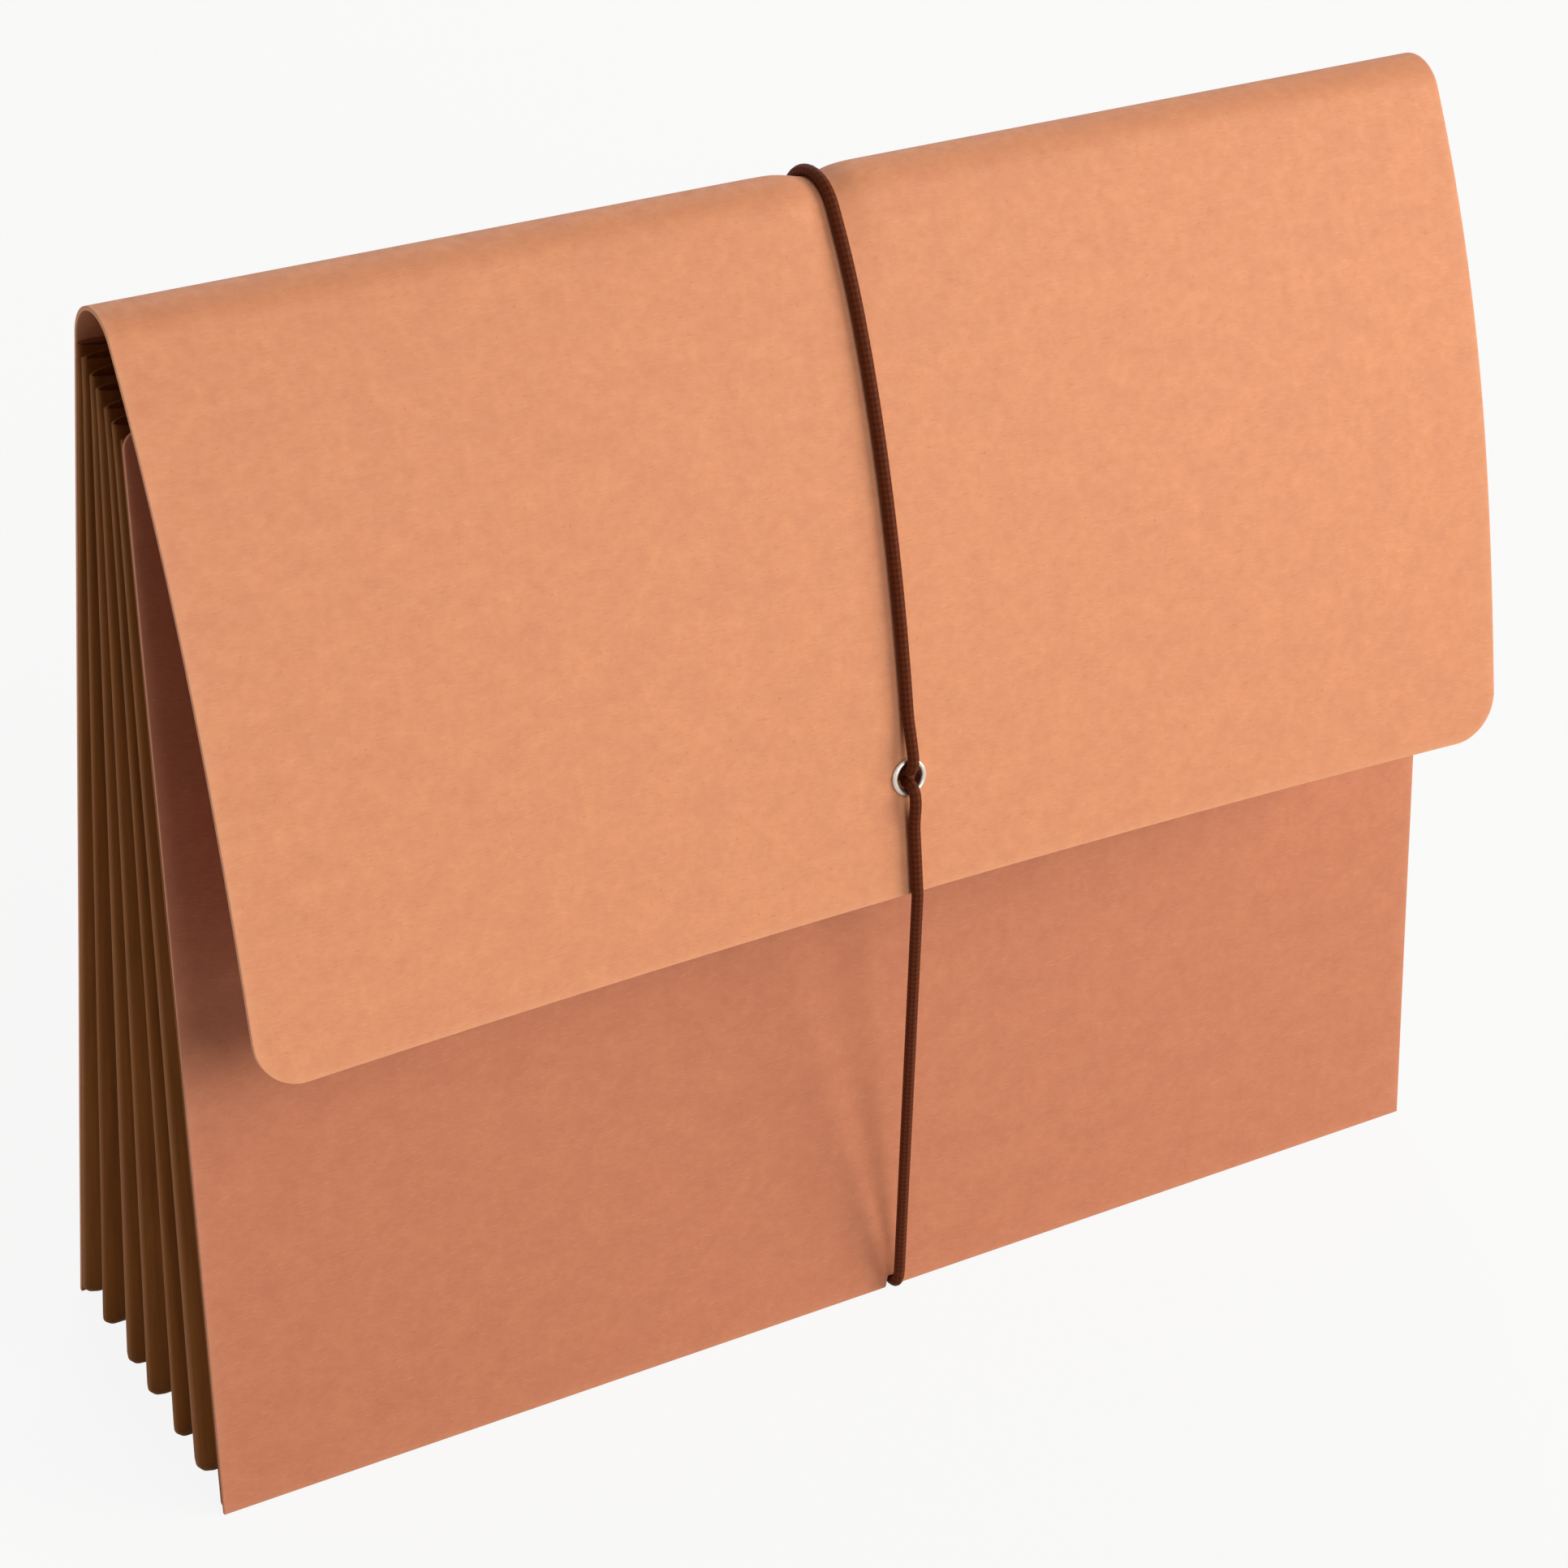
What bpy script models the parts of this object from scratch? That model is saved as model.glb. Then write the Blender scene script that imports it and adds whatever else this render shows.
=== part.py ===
"""Expanding file pocket: two board panels, a pleated gusset between them, a long flap over the front
and an elastic cord through an eyelet in the flap. Sizes are in millimetres and the model is in metres.
X is the width, the front faces -Y, Z is up, and the pocket stands on its bottom edges at z = 0."""

import math

import bmesh
import bpy
from mathutils import Matrix, Vector

MM = 0.001
NAME = "expanding_file_pocket"

# Driving dimensions, in millimetres and degrees
WIDTH = 298.5  # letter size, 11 3/4 in
HEIGHT = 241.0  # floor to the top of the fold, 9 1/2 in
BOTTOM_DEPTH = 72.0  # back panel to front panel along the floor, as it stands
FRONT_LEAN = 13.0  # the front panel leans back to the mouth
FRONT_LENGTH = 228.5  # bottom edge to top edge of the front panel, along the board
FRONT_CORNER = 3.0  # rounded top corners of the front panel
BOARD = 0.8  # thickness of the panels and the flap
FOLD_RADIUS = 8.5  # middle of the board at the top fold
FOLD_SWEEP = 143.0  # turn of the board in the top fold
FOLD_STRIP = 1.0  # straight strip between the back panel and the turn of the fold
FLAP_END_TURN = 163.5  # turn of the board at the flap's free edge
FLAP_LENGTH = 139.5  # along the board, from the fold to the free edge
FLAP_TAPER = 3.0  # each side is this much narrower at the free edge
FLAP_CORNER = 10.0  # rounded corners of the free edge
FLAP_CURVE = 1.7  # power of the flap's curve: higher bends it nearer the fold
FLAP_BOW = 5.6  # the cord holds the middle in, and the corners of the free edge stand out by this much
PLEATS = 6
PLEAT_DEPTH = 9.5  # outer fold to inner fold
PLEAT_INSET = 0.5  # outer folds inside the panels' side edges
GUSSET_SKIN = 1.0  # of the pleated strip, measured across the pleats
GUSSET_TOP = 230.5  # height of the gusset's top edge at the back
GUSSET_TOP_DROP = 9.5  # its top edge is this much lower at the front
GUSSET_CORNER = 4.5  # round of each outer fold at the bottom corners
GUSSET_INNER_CORNER = 3.0  # round of each inner fold there
FLANGE_WIDTH = 14.0  # glued band of the gusset on each panel
FLANGE_SKIN = 0.4
CORD_DIAMETER = 2.4
CORD_BOTTOM_X = 9.4  # the cord runs a little askew below the flap
CORD_TURN_UP = 5.0  # height of the cord's turn at the front panel's bottom edge
CORD_BEND = 2.0  # middle of the cord at its tight bends
EYELET_FROM_EDGE = 25.0  # along the flap, from its free edge
EYELET_BORE = 5.5
EYELET_RIM = 8.0  # outer diameter of the eyelet's face
EYELET_WALL = 0.25
EYELET_FACE = 0.5  # thickness of the eyelet's face
KNOT_DIAMETER = 5.4

# Clearances
GAP = 0.3
FLOOR_GAP = 0.1
NICK_SIDE = 0.45
NICK_OVER = 0.9
PIVOT_REACH = 2.0  # the cord turns this far off the flap's free edge
STRAND_GAP = 0.3
MITRE_TURN = 4.0  # half the turn left open between the gusset's strips

# Pivots of the moving pieces
FRONT_PIVOT_Y = -66.0  # the front panel swings in about a line here
FRONT_PIVOT_Z = 250.0

# Derived
HALF = WIDTH / 2
CORD_R = CORD_DIAMETER / 2
LEAN = math.radians(FRONT_LEAN)
FOLD_Z = HEIGHT - BOARD / 2 - FOLD_RADIUS
CORD_LIFT = BOARD / 2 + GAP + CORD_R
CORD_FLOOR = FLOOR_GAP + CORD_R
NICK_TOP = CORD_FLOOR + CORD_R + NICK_OVER
NICK_HALF = CORD_R + NICK_SIDE
FRONT_FOOT_Z = BOARD / 2 * math.sin(LEAN)
FACE_LIFT = BOARD / 2 + GAP
EYELET_TOP = FACE_LIFT + EYELET_FACE
EYELET_S = FLAP_LENGTH - EYELET_FROM_EDGE


def along(turn):
    """Direction (y, z) of the sheet after a turn in degrees: up the back, over the fold, down the front."""
    return Vector((-math.sin(math.radians(turn)), math.cos(math.radians(turn))))


def outward(turn):
    """Direction (y, z) off the sheet's outer face."""
    return Vector((math.cos(math.radians(turn)), math.sin(math.radians(turn))))


def fold_point(turn, lift=0.0):
    return Vector((-FOLD_RADIUS, FOLD_Z)) + (FOLD_RADIUS + lift) * outward(turn)


def flap_turn(s):
    share = min(max(s / FLAP_LENGTH, 0.0), 1.0)
    return FOLD_SWEEP + (FLAP_END_TURN - FOLD_SWEEP) * (1 - (1 - share) ** FLAP_CURVE)


def flap_point(s, lift=0.0, x=0.0):
    """(y, z) on the flap, s along the board from the fold, lift off its middle, x off the centre line."""
    point = fold_point(FOLD_SWEEP)
    steps = 60
    for k in range(steps):
        point = point + along(flap_turn(s * (k + 0.5) / steps)) * s / steps
    bow = FLAP_BOW * (x / HALF) ** 2 * (s / FLAP_LENGTH) ** 1.5
    return point + (lift + bow) * outward(flap_turn(s))


def flap_half(s):
    half = HALF - FLAP_TAPER * s / FLAP_LENGTH
    into = s - (FLAP_LENGTH - FLAP_CORNER)
    if into > 0:
        half -= FLAP_CORNER - math.sqrt(max(FLAP_CORNER**2 - into**2, 0.0))
    return half


def front_point(s, lift=0.0):
    """(y, z) on the front panel, s up the board from its foot, lift off its middle to the outside."""
    y = -BOTTOM_DEPTH + s * math.sin(LEAN) - lift * math.cos(LEAN)
    z = FRONT_FOOT_Z + s * math.cos(LEAN) + lift * math.sin(LEAN)
    return Vector((y, z))


def front_y(z, lift=0.0):
    """The front panel's y at a height, lift off its middle to the outside."""
    foot = front_point(0.0, lift)
    return foot[0] + (z - foot[1]) * math.tan(LEAN)


FREE_EDGE = flap_point(FLAP_LENGTH)
EYELET = flap_point(EYELET_S)
EYELET_TURN = flap_turn(EYELET_S)
CORD_PIVOT = FREE_EDGE + PIVOT_REACH * (along(FLAP_END_TURN) - outward(FLAP_END_TURN))
FRONT_CORD_Y = front_point(0.0, CORD_LIFT)[0]
BACK_CORD_Y = CORD_LIFT
# Places along the flap where its grid has rows, closer together round the corners
FLAP_ROWS = [(FLAP_LENGTH - FLAP_CORNER) * k / 12 for k in range(12)]
FLAP_ROWS += [FLAP_LENGTH - FLAP_CORNER * (1 - math.sin(math.pi / 2 * k / 8)) for k in range(9)]
# The origin lies under the middle: half way from the cord on the back to the flap's lower corners
FRONT_MOST = min(flap_point(s, BOARD / 2, flap_half(s))[0] for s in FLAP_ROWS)
BACK_MOST = BACK_CORD_Y + CORD_R
SHIFT_Y = -(FRONT_MOST + BACK_MOST) / 2


def place(x, y, z):
    """Millimetres, with the back panel's middle at y = 0, to the model's metres."""
    return Vector((x, y + SHIFT_Y, z)) * MM


# Scene and materials
def clear_scene():
    for obj in list(bpy.data.objects):
        bpy.data.objects.remove(obj)
    for name in (NAME, "cutters"):
        if name in bpy.data.collections:
            bpy.data.collections.remove(bpy.data.collections[name])


def new_collection(name):
    made = bpy.data.collections.new(name)
    bpy.context.scene.collection.children.link(made)
    return made


def finish(obj, home, look, pivot=None):
    """Link an object, give it a material of its own and hang it on a pivot."""
    rgb, roughness, metallic = look
    material = bpy.data.materials.new(obj.name)
    material.use_nodes = True
    shader = material.node_tree.nodes["Principled BSDF"]
    shader.inputs["Base Color"].default_value = (*rgb, 1.0)
    shader.inputs["Roughness"].default_value = roughness
    shader.inputs["Metallic"].default_value = metallic
    obj.data.materials.append(material)
    home.objects.link(obj)
    if pivot:
        obj.parent = pivot
        obj.matrix_parent_inverse = Matrix.Translation(pivot.location).inverted()
    return obj


BOARD_LOOK = ((0.72, 0.31, 0.16), 0.8, 0.0)
PAPER_LOOK = ((0.06, 0.022, 0.008), 0.7, 0.0)
CORD_LOOK = ((0.07, 0.012, 0.003), 0.75, 0.0)
METAL_LOOK = ((0.75, 0.74, 0.72), 0.25, 1.0)


def new_pivot(name, y, z, home, parent=None):
    empty = bpy.data.objects.new(name, None)
    empty.location = place(0.0, y, z)
    empty.empty_display_size = 0.01
    home.objects.link(empty)
    if parent:
        empty.parent = parent
        empty.matrix_parent_inverse = Matrix.Translation(parent.location).inverted()
    return empty


# Builders
def plate(name, outline, thickness, at, lean):
    """A flat outline as a filled 2D curve, stood up on its bottom edge and leant back."""
    curve = bpy.data.curves.new(name, "CURVE")
    curve.dimensions = "2D"
    curve.fill_mode = "BOTH"
    curve.extrude = thickness * MM / 2
    spline = curve.splines.new("POLY")
    spline.points.add(len(outline) - 1)
    for point, (x, s) in zip(spline.points, outline):
        point.co = (x * MM, s * MM, 0.0, 1.0)
    spline.use_cyclic_u = True
    obj = bpy.data.objects.new(name, curve)
    obj.location = place(0.0, at[0], at[1])
    obj.rotation_euler = (math.pi / 2 - lean, 0.0, 0.0)
    return obj


def sheet(name, rows, thickness):
    """A grid bent through rows of (x, y, z) points, then given its thickness."""
    high = len(rows) - 1
    wide = len(rows[0]) - 1
    work = bmesh.new()
    bmesh.ops.create_grid(work, x_segments=wide, y_segments=high, size=1.0)
    for vert in work.verts:
        column = round((vert.co.x + 1) / 2 * wide)
        row = round((vert.co.y + 1) / 2 * high)
        vert.co = place(*rows[row][column])
    mesh = bpy.data.meshes.new(name)
    work.to_mesh(mesh)
    work.free()
    obj = bpy.data.objects.new(name, mesh)
    skin = obj.modifiers.new("thickness", "SOLIDIFY")
    skin.thickness = thickness * MM
    skin.offset = 0.0
    return obj


def turned(name, profile, closed):
    """A profile of (radius, lift) turned about the eyelet's axis."""
    work = bmesh.new()
    verts = [work.verts.new((radius * MM, 0.0, lift * MM)) for radius, lift in profile]
    for a, b in zip(verts, verts[1:]):
        work.edges.new((a, b))
    if closed:
        work.edges.new((verts[-1], verts[0]))
    mesh = bpy.data.meshes.new(name)
    work.to_mesh(mesh)
    work.free()
    obj = bpy.data.objects.new(name, mesh)
    spin = obj.modifiers.new("turn", "SCREW")
    spin.steps = 32
    spin.render_steps = 32
    spin.use_merge_vertices = True
    spin.merge_threshold = 0.000001
    on_flap(obj)
    return obj


def on_flap(obj):
    """Stand an object's Z axis on the flap's outer face at the eyelet."""
    obj.location = place(0.0, *EYELET)
    obj.rotation_euler = (math.radians(EYELET_TURN - 90.0), 0.0, 0.0)


def cord(name, path):
    curve = bpy.data.curves.new(name, "CURVE")
    curve.dimensions = "3D"
    curve.bevel_depth = CORD_R * MM
    curve.bevel_resolution = 2
    curve.use_fill_caps = True
    spline = curve.splines.new("POLY")
    spline.points.add(len(path) - 1)
    for point, at in zip(spline.points, path):
        point.co = (*place(*at), 1.0)
    return bpy.data.objects.new(name, curve)


def bend(before, corner, after, radius, steps=6):
    """Points of an arc that rounds one corner of a path."""
    corner = Vector(corner)
    a = (Vector(before) - corner).normalized()
    b = (Vector(after) - corner).normalized()
    half = a.angle(b) / 2
    centre = corner + (a + b).normalized() * radius / math.sin(half)
    start = (corner + a * radius / math.tan(half) - centre).normalized()
    end = (corner + b * radius / math.tan(half) - centre).normalized()
    return [centre + radius * start.slerp(end, k / steps) for k in range(steps + 1)]


# Pieces
def panel_outline(foot, length, corner):
    """A panel, (x, along the board), with a nick for the cord in its bottom edge."""
    left = CORD_BOTTOM_X - NICK_HALF
    right = CORD_BOTTOM_X + NICK_HALF
    over = (NICK_TOP - foot) / math.cos(LEAN)
    points = [(-HALF, 0.0), (left, 0.0), (left, over), (right, over), (right, 0.0), (HALF, 0.0)]
    for side in (1, -1):
        for k in range(7):
            turn = math.pi / 2 * (k if side > 0 else 6 - k) / 6
            x = side * (HALF - corner + corner * math.cos(turn))
            points.append((x, length - corner + corner * math.sin(turn)))
    return points


def flange_outline(foot, lean, height):
    a = HALF - PLEAT_INSET
    b = a - FLANGE_WIDTH
    low = (NICK_TOP + GAP - foot) / math.cos(lean)
    inner = low + FLANGE_WIDTH
    top = (height - foot) / math.cos(lean)
    points = [(-a, low), (a, low), (a, top), (b, top), (b, inner)]
    return points + [(-b, inner), (-b, top), (-a, top)]


def make_board(home, cutters, flap_pivot, front_pivot):
    back_top = FOLD_Z - FOLD_STRIP
    finish(plate("back_panel", panel_outline(0.0, back_top, GAP), BOARD, (0.0, 0.0), 0.0), home, BOARD_LOOK)
    outline = panel_outline(FRONT_FOOT_Z, FRONT_LENGTH, FRONT_CORNER)
    front = plate("front_panel", outline, BOARD, front_point(0.0), LEAN)
    finish(front, home, BOARD_LOOK, front_pivot)

    rows = [[(x, 0.0, back_top + GAP) for x in (-HALF, 0.0, HALF)]]
    last = FOLD_SWEEP - math.degrees(GAP / FOLD_RADIUS)
    for k in range(13):
        y, z = fold_point(last * k / 12)
        rows.append([(x, y, z) for x in (-HALF, 0.0, HALF)])
    finish(sheet("top_fold", rows, BOARD), home, BOARD_LOOK)

    rows = []
    for s in FLAP_ROWS:
        across = [flap_half(s) * k / 6 for k in range(-6, 7)]
        rows.append([(x, *flap_point(s, 0.0, x)) for x in across])
    flap = finish(sheet("flap", rows, BOARD), home, BOARD_LOOK, flap_pivot)
    reach = EYELET_BORE / 2 + EYELET_WALL + GAP
    bpy.ops.mesh.primitive_cylinder_add(vertices=32, radius=reach * MM, depth=10 * BOARD * MM)
    hole = bpy.context.object
    hole.name = "eyelet_hole_cutter"
    for owner in list(hole.users_collection):
        owner.objects.unlink(hole)
    cutters.objects.link(hole)
    on_flap(hole)
    hole.hide_render = True
    hole.display_type = "WIRE"
    cut = flap.modifiers.new("eyelet_hole", "BOOLEAN")
    cut.operation = "DIFFERENCE"
    cut.solver = "EXACT"
    cut.object = hole


def fold_lines(top):
    """Matching points (x, z) of an outer and an inner fold, from the left strip's top round to the right's,
    in three lists: left, bottom and right."""
    a = HALF - PLEAT_INSET
    low = GUSSET_SKIN / 2 + GAP
    over = CORD_FLOOR + CORD_R + GAP + GUSSET_SKIN / 2
    outer_x = a - GUSSET_CORNER
    outer_z = low + GUSSET_CORNER
    inner_x = a - PLEAT_DEPTH - GUSSET_INNER_CORNER
    inner_z = low + PLEAT_DEPTH + GUSSET_INNER_CORNER

    def corner(turn):
        c = math.cos(math.radians(turn))
        s = math.sin(math.radians(turn))
        outer = (outer_x + GUSSET_CORNER * c, outer_z - GUSSET_CORNER * s)
        inner = (inner_x + GUSSET_INNER_CORNER * c, inner_z - GUSSET_INNER_CORNER * s)
        return outer, inner

    right = [corner((45.0 - MITRE_TURN) * k / 3) for k in range(3, -1, -1)]
    for share in (0.5, 1.0):
        right.append(((a, top * share), (a - PLEAT_DEPTH, top * share)))
    half = [corner(90.0 - (45.0 - MITRE_TURN) * k / 3) for k in range(4)]
    left = [((-o[0], o[1]), (-i[0], i[1])) for o, i in reversed(right)]
    bottom = [((-o[0], o[1]), (-i[0], i[1])) for o, i in reversed(half)]
    for offset, lift in ((-3.75, low), (-1.25, over), (1.25, over), (3.75, low)):
        x = CORD_BOTTOM_X + offset * CORD_DIAMETER
        bottom.append(((x, lift), (x, low + PLEAT_DEPTH)))
    return left, bottom + half, right


def make_gusset(home, front_pivot):
    inside = FACE_LIFT + FLANGE_SKIN + GAP + GUSSET_SKIN / 2
    strips = {"gusset_left": [], "gusset_bottom": [], "gusset_right": []}
    for j in range(2 * PLEATS + 1):
        share = j / (2 * PLEATS)
        lines = fold_lines(GUSSET_TOP - GUSSET_TOP_DROP * share)
        for rows, line in zip(strips.values(), lines):
            row = []
            for pair in line:
                x, z = pair[j % 2]
                row.append((x, -inside * (1 - share) + front_y(z, -inside) * share, z))
            rows.append(row)
    for name, rows in strips.items():
        finish(sheet(name, rows, GUSSET_SKIN), home, PAPER_LOOK)
    lift = FACE_LIFT + FLANGE_SKIN / 2
    outline = flange_outline(0.0, 0.0, GUSSET_TOP)
    finish(plate("gusset_flange_back", outline, FLANGE_SKIN, (-lift, 0.0), 0.0), home, PAPER_LOOK)
    foot = front_point(0.0, -lift)
    outline = flange_outline(foot[1], LEAN, GUSSET_TOP - GUSSET_TOP_DROP)
    front = plate("gusset_flange_front", outline, FLANGE_SKIN, foot, LEAN)
    finish(front, home, PAPER_LOOK, front_pivot)


def make_eyelet(home, flap_pivot):
    bore = EYELET_BORE / 2
    wall = bore + EYELET_WALL
    rim = EYELET_RIM / 2
    chamfer = EYELET_FACE / 2
    profile = [(bore, EYELET_TOP - chamfer / 2), (bore + chamfer / 2, EYELET_TOP), (rim - chamfer, EYELET_TOP)]
    profile += [(rim, EYELET_TOP - chamfer), (rim, FACE_LIFT), (wall, FACE_LIFT)]
    profile += [(wall, -EYELET_TOP), (bore, -EYELET_TOP)]
    finish(turned("eyelet", profile, True), home, METAL_LOOK, flap_pivot)
    inner = wall + GAP
    ring = [(inner, -FACE_LIFT), (rim, -FACE_LIFT), (rim, -EYELET_TOP), (inner, -EYELET_TOP)]
    finish(turned("eyelet_washer", ring, True), home, METAL_LOOK, flap_pivot)


def strand(side):
    """The cord's way out of the bore and over the eyelet's face, towards the fold (-1) or the free edge (1)."""
    over = EYELET_TOP + GAP + CORD_R
    middle = CORD_R + STRAND_GAP / 2
    points = []
    for s, lift in ((middle, -FACE_LIFT), (middle, over), (EYELET_RIM / 2 + CORD_R, over)):
        point = EYELET + side * s * along(EYELET_TURN) + lift * outward(EYELET_TURN)
        points.append(Vector((0.0, *point)))
    return points


def make_cords(home, flap_pivot, cord_pivot):
    x = CORD_BOTTOM_X
    foot_back = (x, BACK_CORD_Y, CORD_FLOOR)
    foot_front = (x, FRONT_CORD_Y, CORD_FLOOR)
    end = (x, FRONT_CORD_Y, CORD_TURN_UP)
    start = Vector((0.0, BACK_CORD_Y, FOLD_Z - FOLD_STRIP))
    path = [start.lerp(Vector(foot_back), k / 12) for k in range(12)]
    path += bend(start, foot_back, foot_front, CORD_BEND)
    path += [Vector(foot_back).lerp(Vector(foot_front), k / 6) for k in range(1, 6)]
    path += bend(foot_back, foot_front, end, CORD_BEND)
    path.append(Vector(end))
    finish(cord("cord_back", path), home, CORD_LOOK)

    last = FOLD_SWEEP - math.degrees(GAP / FOLD_RADIUS)
    path = [start + Vector((0.0, 0.0, GAP))]
    path += [Vector((0.0, *fold_point(last * k / 12, CORD_LIFT))) for k in range(13)]
    finish(cord("cord_fold", path), home, CORD_LOOK)

    stop = EYELET_S - EYELET_RIM / 2 - 4 * CORD_DIAMETER
    path = [Vector((0.0, *flap_point(stop * k / 12, CORD_LIFT))) for k in range(13)]
    bore, over, clear = strand(-1)
    path += [clear] + bend(clear, over, bore, CORD_BEND) + [bore]
    finish(cord("cord_upper", path), home, CORD_LOOK, flap_pivot)

    bore, over, clear = strand(1)
    path = [bore] + bend(bore, over, clear, CORD_BEND) + [clear]
    start = EYELET_S + EYELET_RIM / 2 + 3 * CORD_DIAMETER
    for k in range(4):
        path.append(Vector((0.0, *flap_point(start + (FLAP_LENGTH - start) * k / 3, CORD_LIFT))))
    for turn in (20, 40, 60, 80, 95):
        a = math.radians(turn)
        off = math.cos(a) * outward(FLAP_END_TURN) + math.sin(a) * along(FLAP_END_TURN)
        path.append(Vector((0.0, *(FREE_EDGE + CORD_LIFT * off))))
    finish(cord("cord_lower", path), home, CORD_LOOK, flap_pivot)

    top = Vector((0.0, *CORD_PIVOT))
    foot = Vector((x, FRONT_CORD_Y, CORD_TURN_UP + GAP))
    path = [top.lerp(foot, k / 6) for k in range(7)]
    finish(cord("cord_front", path), home, CORD_LOOK, cord_pivot)

    work = bmesh.new()
    bmesh.ops.create_uvsphere(work, u_segments=16, v_segments=10, radius=KNOT_DIAMETER * MM / 2)
    middle = -(EYELET_TOP + GAP + KNOT_DIAMETER / 2) * MM
    bmesh.ops.translate(work, verts=work.verts, vec=(0.0, 0.0, middle))
    mesh = bpy.data.meshes.new("cord_knot")
    work.to_mesh(mesh)
    work.free()
    mesh.shade_smooth()
    knot = bpy.data.objects.new("cord_knot", mesh)
    on_flap(knot)
    finish(knot, home, CORD_LOOK, flap_pivot)


def main():
    clear_scene()
    home = new_collection(NAME)
    cutters = new_collection("cutters")
    flap_pivot = new_pivot("flap_pivot", -FOLD_RADIUS, FOLD_Z, home)
    front_pivot = new_pivot("front_pivot", FRONT_PIVOT_Y, FRONT_PIVOT_Z, home)
    cord_pivot = new_pivot("cord_pivot", CORD_PIVOT[0], CORD_PIVOT[1], home, flap_pivot)
    make_board(home, cutters, flap_pivot, front_pivot)
    make_gusset(home, front_pivot)
    make_eyelet(home, flap_pivot)
    make_cords(home, flap_pivot, cord_pivot)


main()
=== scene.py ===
"""Looks of the expanding file pocket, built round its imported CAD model.

Lengths are in millimetres until they go into a mesh, and the scene is in metres. X is the width, the front
faces -Y and Z is up. In the helpers y = 0 is the middle of the back panel's board, and SHIFT_Y moves it to
the frame.
"""

import math

import bmesh
import bpy
import numpy as np
from mathutils import Matrix, Vector


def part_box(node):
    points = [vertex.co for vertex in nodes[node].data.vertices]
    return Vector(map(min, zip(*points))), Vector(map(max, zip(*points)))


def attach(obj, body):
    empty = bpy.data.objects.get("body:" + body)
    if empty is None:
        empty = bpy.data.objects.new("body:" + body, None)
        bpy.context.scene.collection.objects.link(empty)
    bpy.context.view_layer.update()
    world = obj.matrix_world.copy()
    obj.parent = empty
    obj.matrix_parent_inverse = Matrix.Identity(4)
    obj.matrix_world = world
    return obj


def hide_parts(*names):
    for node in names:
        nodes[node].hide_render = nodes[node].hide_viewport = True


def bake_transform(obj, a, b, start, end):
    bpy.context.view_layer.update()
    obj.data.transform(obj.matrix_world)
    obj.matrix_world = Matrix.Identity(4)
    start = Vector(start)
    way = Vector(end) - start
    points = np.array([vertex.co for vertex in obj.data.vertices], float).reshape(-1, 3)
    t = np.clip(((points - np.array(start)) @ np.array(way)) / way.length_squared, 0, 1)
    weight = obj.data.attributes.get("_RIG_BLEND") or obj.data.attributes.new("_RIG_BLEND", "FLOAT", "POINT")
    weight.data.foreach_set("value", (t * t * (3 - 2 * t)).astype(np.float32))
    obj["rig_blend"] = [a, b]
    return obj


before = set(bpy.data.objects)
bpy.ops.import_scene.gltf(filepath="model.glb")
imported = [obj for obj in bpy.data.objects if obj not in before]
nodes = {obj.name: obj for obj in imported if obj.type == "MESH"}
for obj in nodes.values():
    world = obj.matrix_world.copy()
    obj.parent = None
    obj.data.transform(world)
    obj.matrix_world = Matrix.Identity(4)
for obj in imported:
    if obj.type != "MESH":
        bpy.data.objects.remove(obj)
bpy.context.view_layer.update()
MM = 0.001

# Sizes of the part
back_low, back_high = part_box("back_panel")
SHIFT_Y = (back_low.y + back_high.y) / 2 / MM
HALF = 149.25
FOLD_R, FOLD_Z, FOLD_SWEEP = 8.5, 232.1, 143.0
FLAP_END_TURN, FLAP_LENGTH, FLAP_TAPER, FLAP_CORNER = 163.5, 139.5, 3.0, 10.0
FLAP_CURVE, FLAP_BOW, FLAP_BOW_POWER = 1.7, 5.6, 1.5
FLAP_STEPS = 60  # steps in which the flap's curve is summed
BOTTOM_DEPTH, LEAN, FRONT_LENGTH, FRONT_CORNER = 72.0, math.radians(13.0), 228.5, 3.0
BOARD = 0.8
PLEATS, PLEAT_DEPTH, PLEAT_INSET = 6, 9.5, 0.15
GUSSET_SKIN, GUSSET_CORNER, GUSSET_INNER_CORNER = 0.5, 2.0, 3.0
GUSSET_TOP, GUSSET_TOP_DROP = 230.5, 9.5
PLEAT_LAY = 0.012  # one pleat in the gusset's UV map
CORD_R, CORD_BOTTOM_X, CORD_TURN_UP, CORD_BEND = 1.2, 9.4, 5.0, 2.0
CORD_LIFT, CORD_FLOOR, NICK_TOP = 1.9, 1.3, 3.4
CORD_TOUCH = 1.62  # middle of the cord where it lies on the board
UNDER_SPLIT = 0.05  # share of the cord's way up the back at which its lower piece ends
FOLD_DENT, FOLD_DENT_HALF, FOLD_DENT_REACH = 1.5, 5.0, 18.0  # the cord presses into the fold
EYELET_S = FLAP_LENGTH - 25.0
EYELET_BORE_R, EYELET_RIM_R, EYELET_TOP = 2.75, 4.0, 1.2
FOLD_ARC = FOLD_R * math.radians(FOLD_SWEEP)  # length of the board in the fold


# Profile of the sheet, the front panel and the cord, as (y, z)
def along(turn):
    return np.array([-math.sin(math.radians(turn)), math.cos(math.radians(turn))])


def outward(turn):
    return np.array([math.cos(math.radians(turn)), math.sin(math.radians(turn))])


def fold_point(turn, lift=0.0):
    return np.array([-FOLD_R, FOLD_Z]) + (FOLD_R + lift) * outward(turn)


def flap_turn(s):
    share = min(max(s / FLAP_LENGTH, 0.0), 1.0)
    return FOLD_SWEEP + (FLAP_END_TURN - FOLD_SWEEP) * (1 - (1 - share) ** FLAP_CURVE)


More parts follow.
